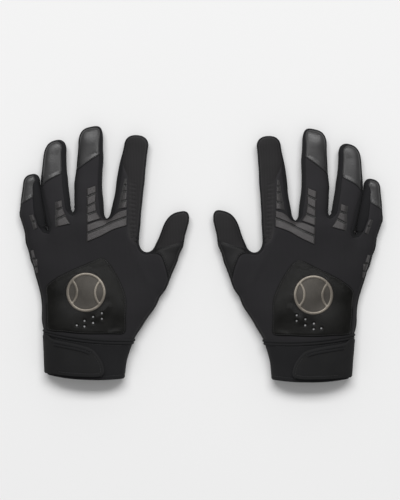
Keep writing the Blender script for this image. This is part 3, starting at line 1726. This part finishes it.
@dataclass
class Strap:
    """The closing strap with its sewn base, the raised band along it, and the hook and loop closure."""

    form: GloveForm
    hinge: float = -27.8
    anchor_top: float = 42.5
    anchor_foot: float = 7.8
    thickness: float = 1.9
    gap: float = 0.25
    loop_thickness: float = 0.9
    hook_thickness: float = 0.7
    rise_length: float = 14.0
    edge_drop: float = 0.8
    edge_width: float = 0.8
    fold_rows: int = 32
    fold_shift: float = 0.4
    seam_angle: float = math.pi + 0.04
    stitch_inset: float = 2.8
    stitch_width: float = 0.5
    stitch_depth: float = 0.45
    piping_width: float = 4.6
    piping_height: float = 1.1
    bend: float = 4.5
    columns: int = 26
    nap_pitch: float = 1.4
    nap_span: float = 0.3
    nap_radius: float = 0.08
    nap_seed: int = 5
    loop_nap: float = 0.3
    loop_backing: float = 0.3
    hook_nap: float = 0.33
    hook_backing: float = 0.35

    def low(self, x: Array) -> Array:
        """How far the under side of the strap stands off the glove: it climbs over the closure."""
        base = self.gap * 3 + self.loop_thickness + self.hook_thickness
        return self.gap + (base - self.gap) * ease((x - self.hinge) / self.rise_length)

    def strap(self) -> Piece:
        """The strap and its base as one piece of cloth.

        Returns:
            The strap with its base.
        """
        form = self.form
        top_y, foot_y = STRAP_TOP[0][1], STRAP_TOP[-1][1]
        edge = spline(STRAP_TOP, 0.9)
        edge[0] = (self.hinge, top_y)
        edge[-1] = (self.hinge, foot_y)
        rows = self.fold_rows
        shared = np.linspace(foot_y, top_y, rows)
        fold = np.column_stack([np.full(rows, self.hinge), shared])
        plan = plan_mesh([(edge, Edge.FREE), (fold[1:-1], Edge.SIDE)], pitch=1.5)
        face = form.back(plan.points)
        index = [Outline.nearest(plan.points, p) for p in fold]
        height = self.anchor_top - self.anchor_foot
        grown = (shared - foot_y) / (top_y - foot_y) * height + self.anchor_foot
        columns = []
        for s in np.linspace(0, 1, self.columns + 1)[1:]:
            y = shared + (grown - shared) * ease(s / self.fold_shift)
            top = form.back(np.column_stack([np.full(rows, self.hinge), y])).points
            start = np.arctan2(top[:, 2] - form.girth, top[:, 0] - form.middle(y))
            columns.append(form.round_wrist(start + (self.seam_angle - start) * s, y))
        anchor = np.vstack(columns)
        face = face + Face(anchor, form.normal(anchor))
        added = len(plan.points) + np.arange(len(anchor)).reshape(self.columns, rows)
        grid = np.vstack([index, added]).ravel()
        triangles = np.vstack([plan.triangles, grid[grid_triangles(self.columns + 1, rows)]])
        free = plan.off(Edge.FREE)
        column, row = np.arange(len(anchor)) // rows + 1, np.arange(len(anchor)) % rows
        side = np.minimum(row, rows - 1 - row) * (height / (rows - 1))
        tail = (self.columns - column) * 0.5
        off = np.concatenate([free, np.minimum(side, tail)])
        low = np.concatenate([self.low(plan.points[:, 0]), np.full(len(anchor), self.gap)])
        wave = form.waves(face.points)
        groove = swell(off - self.stitch_inset, self.stitch_width) * self.stitch_depth
        high = low + self.thickness - self.edge_drop * swell(off, self.edge_width) - groove
        turned = np.column_stack([self.hinge - column * 0.6, anchor[:, 1]])
        shape = thicken(face, triangles, low + wave, high + wave, np.vstack([plan.points, turned]), off)
        return Piece("strap_cloth", shape, "strap_neoprene", "cuff", ("strap", "strap_anchor"), Part.FOLD)

    def piping(self) -> Piece:
        """The raised band along the upper edge of the strap.

        Returns:
            The band.
        """
        edge = spline(STRAP_PIPING, 0.8)
        across = rightward(np.gradient(edge, axis=0))
        t = np.linspace(0, 1, 17)
        points = (edge[:, None] + across[:, None] * (t * self.piping_width)[None, :, None]).reshape(-1, 2)
        face = self.form.back(points)
        wave = self.form.waves(face.points)
        base = self.low(points[:, 0]) + self.thickness
        s = np.tile(t, len(edge)) * 2 - 1
        run = np.repeat(arc_lengths(edge), len(t))
        ends = ease(np.minimum(run, run.max() - run) / 1.5)
        high = base + self.piping_height * (0.3 + 0.7 * two_cords(s)) * (0.2 + 0.8 * ends) - 0.05
        off = two_cords(s) * 1.6
        plan = np.column_stack([run, np.tile(t, len(edge)) * self.piping_width])
        shape = thicken(face, grid_triangles(len(edge), len(t)), base - 0.5 + wave, high + wave, plan, off)
        return Piece("strap_band", shape, "binding_tape", "cuff", ("strap_piping",), Part.STRAP)

    def patch(self, outline: list, low: float, high: float, nap: float) -> Shape:
        """A patch of closure tape with its nap.

        Args:
            outline: its corners.
            low: how far its under side stands off the glove.
            high: the same for its upper side.
            nap: how far the nap stands out of it, negative for hooks on the under side.

        Returns:
            The patch.
        """
        corners = resample(np.array([*outline, outline[0]], float), 1.2)[:-1]
        plan = plan_mesh([(corners, Edge.FREE)], pitch=self.nap_pitch, rim=(0.6,))
        face = self.form.back(plan.points)
        wave = self.form.waves(face.points)
        off = plan.off()
        tape = thicken(face, plan.triangles, low + wave, high + wave, plan.points, off)
        rooted = off > 0.5
        up = face.normals[rooted]
        root = face.points[rooted] + up * ((high if nap > 0 else low) + wave[rooted])[:, None]
        heading = np.random.default_rng(self.nap_seed).uniform(0, 2 * math.pi, len(root))
        aside = unit(np.cross(up, np.column_stack([np.cos(heading), np.sin(heading), np.zeros(len(root))])))
        t = np.linspace(-0.1, 1, 5) * math.pi * (1 if nap > 0 else 0.75)
        sideways = aside[:, None] * (np.cos(t) * self.nap_span)[:, None]
        paths = root[:, None] + sideways + up[:, None] * (np.sin(t) * nap)[:, None]
        return tape + tubes(paths, np.cross(up, aside), np.full(len(t), self.nap_radius), 4)

    def pieces(self) -> list[Piece]:
        """The strap and its closure.

        Returns:
            The strap, its band and both tapes.
        """
        top = self.gap + self.loop_thickness
        base = top + self.gap
        hook = self.patch(HOOK_OUTLINE, base + self.hook_backing, base + self.hook_thickness, -self.hook_nap)
        loop = self.patch(LOOP_OUTLINE, self.gap, top - self.loop_backing, self.loop_nap)
        return [
            self.strap(),
            self.piping(),
            Piece("hook_tape", hook, "hook_tape", "cuff", ("hook_patch",), Part.STRAP),
            Piece("loop_tape", loop, "loop_tape", "cuff", ("loop_patch",)),
        ]


@dataclass
class Stitching:
    """The topstitching of the leather, the badge, the cuff and the strap."""

    panels: BackPanels
    badge: Badge
    cuff: Cuff
    strap: Strap
    hem_inset: float = 1.0
    edge_inset: float = 1.2

    def pieces(self) -> list[Piece]:
        """The stitches that stay with the hand, and those that move with the strap.

        Returns:
            Both lots of stitches.
        """
        form, seams, strap = self.panels.form, self.panels.seams, self.strap
        thread = Thread(form)
        leather = self.panels.leather.lift
        hem = leather + self.panels.hem_lift + 0.05
        rows = [
            thread.row(seams[name].shifted(self.panels.lap - self.hem_inset)[3:-3], hem)
            for name in ("little", "ring", "middle")
        ]
        rows.append(thread.row(seams["thumb"].shifted(self.edge_inset)[3:-3], leather))
        rows.append(thread.row(seams["wedge"].shifted(-self.edge_inset)[3:-3], leather))
        border = self.badge.border(self.edge_inset)
        rows.append(thread.row(np.vstack([border, border[:1]]), self.badge.gap + self.badge.thickness))
        x = np.linspace(strap.hinge + 2, 33, 70)
        rows.append(thread.row(np.column_stack([x, form.hem(x) + self.cuff.hem_line]), -0.1))
        below = form.cuff_seam(x) - self.cuff.welt_width / 2 - 0.7
        rows.append(thread.row(np.column_stack([x, below]), 0.05))
        edge = spline(STRAP_TOP, 0.9)
        edge += rightward(np.gradient(edge, axis=0)) * strap.stitch_inset
        edge = edge[(edge[:, 0] > strap.hinge + strap.bend + 1) & (edge[:, 1] < 25)]
        band = np.array(STRAP_PIPING[1:], float) - (0, strap.piping_width / 2)
        moving = [
            thread.row(edge, strap.low(edge[:, 0]) + strap.thickness - 0.25),
            thread.row(band, strap.low(band[:, 0]) + strap.thickness + 0.3),
        ]
        return [
            Piece("stitching", sum(rows[1:], rows[0]), "sewing_thread", "leather"),
            Piece("strap_stitching", moving[0] + moving[1], "sewing_thread", "cuff", part=Part.STRAP),
        ]


# What a node gives out, and what its input takes: a number or a socket, and the same for a colour.
Socket = bpy.types.NodeSocket
Value = float | Socket
Colour = tuple | Socket


class Recipe:
    """A material under construction: nodes are added and joined by short calls."""

    def __init__(self, name: str, **shader: float | tuple) -> None:
        """Starts a material.

        Args:
            name: the material's name.
            shader: values for the main shader's sockets.
        """
        self.material = bpy.data.materials.new(name)
        self.material.use_nodes = True
        self.tree = self.material.node_tree
        self.shader = self.tree.nodes["Principled BSDF"]
        for socket, value in shader.items():
            self.shader.inputs[socket.replace("_", " ")].default_value = value
        uv = self.tree.nodes.new("ShaderNodeUVMap")
        uv.uv_map = "pattern"
        self.plan = uv.outputs["UV"]
        self.place = self.tree.nodes.new("ShaderNodeTexCoord").outputs["Object"]
        seam = self.tree.nodes.new("ShaderNodeAttribute")
        seam.attribute_name = "seam"
        self.seam = seam.outputs["Fac"]

    def node(self, kind: str, wires: dict, **settings: object) -> bpy.types.Node:
        """Adds a node.

        Args:
            kind: the node's type, without its prefix.
            wires: a value or a socket for each input, by name or number.
            settings: the node's own settings.

        Returns:
            The node.
        """
        node = self.tree.nodes.new("ShaderNode" + kind)
        for name, value in settings.items():
            setattr(node, name, value)
        for key, value in wires.items():
            if isinstance(value, Socket):
                self.tree.links.new(value, node.inputs[key])
            else:
                node.inputs[key].default_value = value
        return node

    def scaled(self, source: Socket, scale: tuple, turn: float = 0.0) -> Socket:
        """Coordinates stretched, and turned about the upright axis."""
        wires = {"Vector": source, "Scale": scale, "Rotation": (0, 0, turn)}
        return self.node("Mapping", wires).outputs["Vector"]

    def along(self, axis: int) -> Socket:
        """The distance along one axis of the row frame, in metres."""
        return self.node("SeparateXYZ", {"Vector": self.place}).outputs[axis]

    def noise(self, source: Socket, scale: float, detail: float) -> Socket:
        """A cloudy pattern between nought and one."""
        return self.node("TexNoise", {"Vector": source, "Scale": scale, "Detail": detail}).outputs["Fac"]

    def cells(self, source: Socket, scale: float) -> Socket:
        """Distance from the middle of small cells."""
        return self.node("TexVoronoi", {"Vector": source, "Scale": scale}).outputs["Distance"]

    def wave(self, source: Socket, scale: float, way: str) -> Socket:
        """Straight ribs along one axis."""
        return self.node("TexWave", {"Vector": source, "Scale": scale}, bands_direction=way).outputs["Fac"]

    def maths(self, kind: str, a: Value, b: Value) -> Socket:
        """The sum, product or other function of two values."""
        return self.node("Math", {0: a, 1: b}, operation=kind).outputs[0]

    def mixed(self, a: Value, share: float, b: Value, other: float) -> Socket:
        """The sum of two patterns, each in its share."""
        return self.maths("ADD", self.maths("MULTIPLY", a, share), self.maths("MULTIPLY", b, other))

    def spread(self, value: Value, low: float, high: float, to_low: float, to_high: float) -> Value:
        """A value carried from one range to another, held at its ends."""
        wires = {"Value": value, "From Min": low, "From Max": high, "To Min": to_low, "To Max": to_high}
        return self.node("MapRange", wires).outputs["Result"]

    def colours(self, value: Value, low: Colour, high: Colour) -> Socket:
        """A colour between two, by a value."""
        low, high = (c if isinstance(c, Socket) else (*c, 1) for c in (low, high))
        return self.node("Mix", {0: value, 6: low, 7: high}, data_type="RGBA").outputs[2]

    def bump(self, height: Value, distance: float, under: Value | None = None) -> Socket:
        """A raised pattern, on top of another if one is given.

        Args:
            height: the pattern.
            distance: how high it stands.
            under: the surface below it.

        Returns:
            The raised surface.
        """
        wires = {"Height": height, "Distance": distance, "Strength": 1.0}
        if under is not None:
            wires["Normal"] = under
        return self.node("Bump", wires).outputs["Normal"]

    def wire(self, socket: str, value: Socket) -> None:
        """Joins a value to one of the main shader's sockets."""
        self.tree.links.new(value, self.shader.inputs[socket])


@dataclass(frozen=True)
class Knit:
    """Stretch knit: fine stitches in rows, a soft sheen, and paler hairs."""

    name: str
    dark: Triple
    pale: Triple
    rough: float = 0.82
    sheen: float = 0.03
    gloss: float = 0.12
    loop: float = 0.55
    depth: float = 0.00009
    stretch: float = 0.55
    stretch_span: Pair = (0.015, 0.06)
    groove: float = -1.3

    def build(self) -> bpy.types.Material:
        """Makes the material.

        Returns:
            The material.
        """
        r = Recipe(
            self.name, Roughness=self.rough, Specular_IOR_Level=self.gloss,
            Sheen_Weight=self.sheen, Sheen_Roughness=0.45,
        )
        across = r.wave(r.scaled(r.plan, (1 / self.loop, 1, 1)), 0.5 / math.pi, "X")
        along = r.wave(r.scaled(r.plan, (1, 1 / self.loop, 1)), 0.7 / math.pi, "Y")
        knit = r.maths("MULTIPLY", across, along)
        cloud = r.noise(r.place, 55, 4)
        fuzz = r.noise(r.place, 2600, 2)
        mixed = r.mixed(knit, 0.55, cloud, 0.5)
        stretched = r.spread(r.along(1), *self.stretch_span, 0.0, self.stretch)
        worn = r.maths("ADD", r.spread(r.seam, 0.0, 2.4, 0.35, 0.0), stretched)
        grooved = r.maths("ADD", worn, r.spread(r.seam, -1.0, 0.0, self.groove, 0.0))
        r.wire("Base Color", r.colours(r.maths("ADD", mixed, grooved), self.dark, self.pale))
        r.wire("Roughness", r.spread(cloud, 0.3, 0.7, self.rough - 0.08, self.rough + 0.08))
        soft = r.bump(fuzz, self.depth * 0.5)
        r.wire("Normal", r.bump(knit, self.depth, soft))
        return r.material


@dataclass(frozen=True)
class Leather:
    """Soft leather: pebbled grain, fine creases and a satin face."""

    name: str
    dark: Triple = (0.0115, 0.0115, 0.012)
    pale: Triple = (0.0265, 0.0258, 0.0265)
    rough: float = 0.42
    gloss: float = 0.5
    grain: float = 900.0
    depth: float = 0.00007

    def build(self) -> bpy.types.Material:
        """Makes the material.

        Returns:
            The material.
        """
        r = Recipe(self.name, Roughness=self.rough, Specular_IOR_Level=self.gloss)
        pebble = r.cells(r.place, self.grain)
        crease = r.noise(r.scaled(r.place, (1.0, 0.35, 1.0)), 260, 5)
        cloud = r.noise(r.place, 70, 3)
        edge = r.spread(r.seam, 0.3, 1.0, -0.6, 0.0)
        worn = r.maths("ADD", r.maths("MULTIPLY", cloud, 0.8), edge)
        r.wire("Base Color", r.colours(worn, self.dark, self.pale))
        mixed = r.mixed(cloud, 0.6, crease, 0.4)
        r.wire("Roughness", r.spread(mixed, 0.3, 0.7, self.rough - 0.07, self.rough + 0.09))
        fine = r.bump(pebble, self.depth)
        r.wire("Normal", r.bump(crease, self.depth * 1.8, fine))
        return r.material


@dataclass(frozen=True)
class Rubber:
    """Moulded rubber film: satin, with fine lines from the mould."""

    name: str
    dark: Triple = (0.0205, 0.0183, 0.0188)
    pale: Triple = (0.037, 0.0332, 0.0339)
    groove: Triple = (0.004, 0.004, 0.004)
    rough: float = 0.46
    gloss: float = 0.4
    depth: float = 0.00004

    def build(self) -> bpy.types.Material:
        """Makes the material.

        Returns:
            The material.
        """
        r = Recipe(self.name, Roughness=self.rough, Specular_IOR_Level=self.gloss)
        cloud = r.noise(r.place, 160, 4)
        grit = r.noise(r.place, 1800, 2)
        lines = r.wave(r.scaled(r.plan, (1, 1, 1), 0.35), 1.1, "Y")
        worn = r.colours(cloud, self.dark, self.pale)
        r.wire("Base Color", r.colours(r.spread(r.seam, 0, 1, 0, 1), self.groove, worn))
        r.wire("Roughness", r.spread(cloud, 0.3, 0.7, self.rough - 0.06, self.rough + 0.08))
        fine = r.bump(grit, self.depth)
        r.wire("Normal", r.bump(lines, self.depth * 0.7, fine))
        return r.material


@dataclass(frozen=True)
class Metallic:
    """Metallic foil with a speckled face."""

    name: str
    dark: Triple = (0.085, 0.075, 0.062)
    pale: Triple = (0.215, 0.193, 0.165)
    rough: float = 0.42
    metal: float = 0.75

    def build(self) -> bpy.types.Material:
        """Makes the material.

        Returns:
            The material.
        """
        r = Recipe(self.name, Roughness=self.rough, Metallic=self.metal)
        speck = r.noise(r.place, 2300, 3)
        cloud = r.noise(r.place, 120, 2)
        mixed = r.mixed(speck, 0.8, cloud, 0.3)
        r.wire("Base Color", r.colours(r.spread(mixed, 0.3, 0.8, 0, 1), self.dark, self.pale))
        r.wire("Normal", r.bump(speck, 0.00006))
        return r.material


@dataclass(frozen=True)
class Tape:
    """Woven tape and neoprene: a fine twill with a dull face."""

    name: str
    dark: Triple = (0.007, 0.007, 0.0075)
    pale: Triple = (0.015, 0.015, 0.016)
    rough: float = 0.86
    gloss: float = 0.1
    sheen: float = 0.02
    pitch: float = 0.8
    turn: float = 0.6
    depth: float = 0.00008

    def build(self) -> bpy.types.Material:
        """Makes the material.

        Returns:
            The material.
        """
        r = Recipe(
            self.name, Roughness=self.rough, Specular_IOR_Level=self.gloss,
            Sheen_Weight=self.sheen, Sheen_Roughness=0.5,
        )
        threads = r.scaled(r.plan, (1 / self.pitch, 1 / self.pitch, 1), self.turn)
        weave = r.maths("MULTIPLY", *(r.wave(threads, 0.5, way) for way in "XY"))
        cloud = r.noise(r.place, 60, 4)
        fuzz = r.noise(r.place, 2400, 2)
        worn = r.spread(r.seam, 0.0, 2.0, 0.3, 0.0)
        mixed = r.mixed(weave, 0.4, cloud, 0.5)
        r.wire("Base Color", r.colours(r.maths("ADD", mixed, worn), self.dark, self.pale))
        soft = r.bump(fuzz, self.depth * 0.5)
        r.wire("Normal", r.bump(weave, self.depth, soft))
        return r.material


FINISHES = [
    Knit("back_jersey", (0.0096, 0.0092, 0.0101), (0.0205, 0.0198, 0.0216)),
    Knit(
        "index_jersey", (0.0085, 0.0081, 0.0085), (0.0275, 0.0266, 0.0275), loop=0.7, stretch=0.12,
    ),
    Knit("side_strip_knit", (0.006, 0.006, 0.0065), (0.0125, 0.0125, 0.0135), gloss=0.08),
    Leather("fingertip_leather"),
    Leather("palm_leather", (0.0035, 0.0035, 0.0038), (0.008, 0.0077, 0.008), 0.52, 0.2),
    Rubber("flex_bar_rubber"),
    Rubber(
        "badge_film", (0.0022, 0.0022, 0.0019), (0.005, 0.0048, 0.0042), (0.002, 0.002, 0.0018), 0.34, 0.12,
    ),
    Metallic("bronze_foil"),
    Metallic("dull_foil", (0.02, 0.018, 0.0155), (0.07, 0.063, 0.054), 0.5, 0.6),
    Tape("sewing_thread", (0.01, 0.01, 0.0105), (0.02, 0.02, 0.021), 0.55, 0.3),
    Metallic("pale_eyelet", (0.3, 0.3, 0.3), (0.55, 0.55, 0.56), 0.35, 0.2),
    Tape("cuff_neoprene"),
    Tape("strap_neoprene", (0.0082, 0.0082, 0.0084), (0.0165, 0.0165, 0.017), turn=0.2),
    Tape("binding_tape", (0.0075, 0.0075, 0.008), (0.0155, 0.0155, 0.0162), pitch=0.6),
    Tape("hook_tape", pitch=1.2),
    Tape("loop_tape", sheen=0.15, pitch=1.5),
]


@dataclass
class Glove:
    """One glove in place: where the drawn glove lies in the row frame, and what its pieces ride on."""

    side: Side
    smooth_angle: float = 50.0

    def __post_init__(self) -> None:
        """Works out the place of the glove from the hinge of its strap."""
        self.name = self.side.name.lower()
        joint = next(j for j in frame["joints"] if j["name"] == f"{self.name}_strap_peel")
        self.pivot = np.array(joint["pos_m"]) / MM
        axis = np.array(joint["axis"])
        self.yaw = math.atan2(self.side.value * axis[0], -self.side.value * axis[1])

    def seat(self, hinge: Array) -> None:
        """Fixes the glove's origin, from the hinge's place in the glove's own frame.

        Args:
            hinge: the hinge in the glove's own frame.
        """
        self.origin = np.zeros(3)
        self.origin = self.pivot - self.to_row(hinge[None])[0]
        self.origin[2] = 0

    def to_row(self, p: Array) -> Array:
        """Points of the glove's frame in the row frame, in millimetres.

        Args:
            p: the points.

        Returns:
            The same points in the row frame.
        """
        x, y, z = (p * (self.side.value, 1, 1)).T
        c, s = math.cos(self.yaw), math.sin(self.yaw)
        return np.column_stack([x * c - y * s, x * s + y * c, z]) + self.origin

    def sew(self, piece: Piece, materials: dict) -> bpy.types.Object:
        """Makes a piece's object on this glove.

        Args:
            piece: the piece, drawn for the left glove.
            materials: the finished materials by name.

        Returns:
            The object, riding on its body.
        """
        verts = self.to_row(piece.shape.verts) * MM
        faces = piece.shape.faces
        if self.side is Side.RIGHT:
            faces = [f[::-1] for f in faces]
        name = f"{self.name}_{piece.name}"
        mesh = bpy.data.meshes.new(name)
        mesh.from_pydata(verts.tolist(), [], faces)
        corners = np.concatenate([np.array(f) for f in faces])
        uv = mesh.uv_layers.new(name="pattern")
        uv.data.foreach_set("uv", piece.shape.plan[corners].astype(np.float32).ravel())
        seam = mesh.attributes.new("seam", "FLOAT", "POINT")
        seam.data.foreach_set("value", piece.shape.seam.astype(np.float32))
        mesh.materials.append(materials[piece.finish])
        obj = bpy.data.objects.new(name, mesh)
        bpy.context.scene.collection.objects.link(obj)
        bpy.ops.object.select_all(action="DESELECT")
        obj.select_set(True)
        bpy.context.view_layer.objects.active = obj
        bpy.ops.object.shade_smooth_by_angle(angle=math.radians(self.smooth_angle))
        if piece.part is Part.FOLD:
            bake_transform(obj)
        else:
            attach(obj, f"{self.name}_{'glove' if piece.part is Part.HAND else 'strap'}")
        if piece.stands_for:
            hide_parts(*[f"{self.name}_{node}" for node in piece.stands_for])
        LOG.info("%s: %d faces, rides as %s", name, len(faces), piece.part.value)
        return obj


@dataclass
class Studio:
    """The pale floor, the soft lights and the camera straight above."""

    centre: Pair = (-1.065, 4.05)
    frame_height: float = 450.0
    lens: float = 135.0
    sensor: float = 36.0
    floor_size: float = 6.0
    gloss_tilt: float = 52.0
    gloss_distance: float = 1.2
    gloss_watts: float = 5.0
    gloss_size: Pair = (0.35, 1.1)
    key_place: Triple = (0.0, 3.27, 5.04)
    key_size: Pair = (6.0, 1.8)
    key_watts: float = 330.0
    air_strength: float = 0.42

    def floor(self) -> None:
        """The floor, just under the palms."""
        bpy.ops.object.select_all(action="DESELECT")
        bpy.ops.mesh.primitive_plane_add(size=self.floor_size, location=(0, 0, -0.0001))
        floor = bpy.context.active_object
        floor.name = "studio_floor"
        r = Recipe("pale_floor", Roughness=0.9)
        r.wire("Base Color", r.colours(r.noise(r.place, 3, 2), (0.795, 0.795, 0.795), (0.815, 0.815, 0.815)))
        floor.data.materials.append(r.material)

    @staticmethod
    def light(name: str, place: tuple, size: tuple, watts: float, aim: tuple = (0, 0, 0)) -> bpy.types.Object:
        """A soft light.

        Args:
            name: the light's name.
            place: where it hangs, in metres.
            size: its width and depth, in metres.
            watts: its power.
            aim: the point it faces, in metres.

        Returns:
            The light.
        """
        data = bpy.data.lights.new(name, "AREA")
        data.shape = "RECTANGLE"
        data.size, data.size_y = size
        data.energy = watts
        lamp = bpy.data.objects.new(name, data)
        lamp.location = place
        lamp.rotation_mode = "QUATERNION"
        lamp.rotation_quaternion = (Vector(aim) - Vector(place)).to_track_quat("-Z", "Y")
        bpy.context.scene.collection.objects.link(lamp)
        return lamp

    def gloss(self, glove: Glove, pieces: list[bpy.types.Object]) -> None:
        """A light from the thumb side that falls on one glove only.

        Args:
            glove: the glove it lights.
            pieces: the glove's pieces.
        """
        lit = bpy.data.collections.new(f"{glove.name}_lit")
        for piece in pieces:
            lit.objects.link(piece)
        x, y = glove.origin[:2] * MM
        tilt = math.radians(self.gloss_tilt)
        away = glove.side.value * math.sin(tilt) * self.gloss_distance
        place = (x + away, y + 0.3, math.cos(tilt) * self.gloss_distance)
        lamp = self.light(f"{glove.name}_gloss", place, self.gloss_size, self.gloss_watts, (x, y + 0.12, 0))
        lamp.light_linking.receiver_collection = lit

    def camera(self) -> None:
        """The camera, looking straight down with the fingers up the picture."""
        data = bpy.data.cameras.new("photo_camera")
        data.lens = self.lens
        data.sensor_width = self.sensor
        camera = bpy.data.objects.new("photo_camera", data)
        height = self.frame_height * MM * self.lens / self.sensor
        camera.location = (self.centre[0] * MM, self.centre[1] * MM, height + GloveForm.girth * MM)
        bpy.context.scene.collection.objects.link(camera)
        bpy.context.scene.camera = camera

    def build(self) -> None:
        """Sets up the whole studio."""
        self.floor()
        self.camera()
        self.light("key_softbox", self.key_place, self.key_size, self.key_watts)
        world = bpy.data.worlds.new("studio_air")
        world.use_nodes = True
        air = world.node_tree.nodes["Background"].inputs
        air["Color"].default_value = (1, 1, 1, 1)
        air["Strength"].default_value = self.air_strength
        bpy.context.scene.world = world
        bpy.context.scene.view_settings.view_transform = "Standard"


def strap_hinge(form: GloveForm, strap: Strap) -> Array:
    """The hinge of the strap in the glove's own frame: on the outer face of the fold.

    Args:
        form: the stuffed glove.
        strap: the strap.

    Returns:
        The place of the hinge.
    """
    y = (STRAP_TOP[0][1] + STRAP_TOP[-1][1]) / 2
    face = form.back(np.array([[strap.hinge, y]]))
    top = face.points[0] + face.normals[0] * (strap.gap + strap.thickness)
    return np.array([strap.hinge - 0.15, y, top[2] + 0.6])


def main() -> None:
    """Builds every sub-assembly of the left glove, then dresses both gloves with it."""
    logging.basicConfig(level=logging.INFO, format="%(name)s %(message)s")
    studio = Studio()
    studio.build()
    form = GloveForm()
    outline = Outline(form)
    panels, badge, cuff, strap = BackPanels(outline), Badge(form), Cuff(form), Strap(form)
    makers = [
        panels, SideStrips(outline), Palm(outline), FlexBars(form), badge, cuff, strap,
        Stitching(panels, badge, cuff, strap),
    ]
    pieces = [piece for maker in makers for piece in maker.pieces()]
    materials = {finish.name: finish.build() for finish in FINISHES}
    hinge = strap_hinge(form, strap)
    for side in Side:
        glove = Glove(side)
        glove.seat(hinge)
        studio.gloss(glove, [glove.sew(piece, materials) for piece in pieces])


if __name__ == "__main__":
    main()
